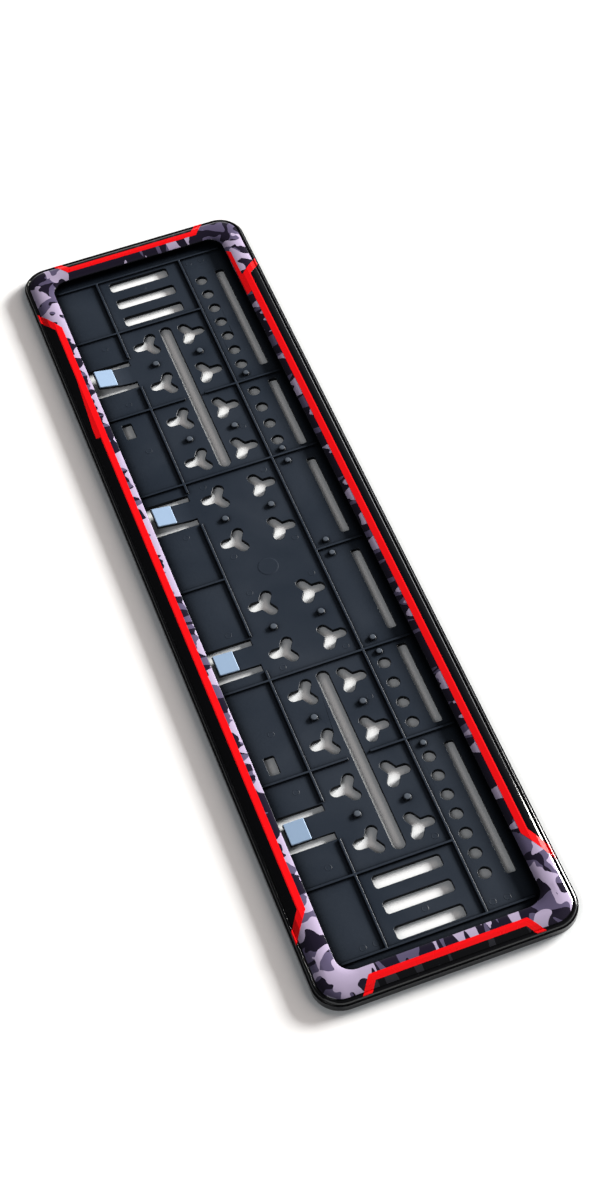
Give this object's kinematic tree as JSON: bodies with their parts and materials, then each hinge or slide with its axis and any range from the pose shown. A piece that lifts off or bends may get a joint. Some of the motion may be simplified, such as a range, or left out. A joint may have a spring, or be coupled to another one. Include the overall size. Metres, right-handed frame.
{
  "type": "number plate holder",
  "caption": "Flat car number plate holder: a ribbed plastic tray with screw holes and snap tongues, and a glossy bezel with stripes and camouflage print round its edge.",
  "frame": {"origin": "middle of the holder's footprint, on the plane of its back", "axes": "+X along the plate, +Y towards the side with the row of round holes, +Z out of the plate's face"},
  "size_m": [0.5354, 0.1418, 0.008],
  "materials": {
    "tray_plastic": "satin moulded plastic",
    "bezel_plastic": "glossy moulded plastic",
    "pad": "plain pale pad",
    "red_ink": "glossy print",
    "light_ink": "glossy print",
    "dark_ink": "glossy print"
  },
  "bodies": {
    "root": {"base_plate": "tray_plastic", "bezel": "bezel_plastic", "pad_1": "pad", "pad_2": "pad", "pad_3": "pad", "pad_4": "pad", "red_stripes": "red_ink", "camo_light": "light_ink", "camo_dark": "dark_ink"}
  },
  "joints": []
}
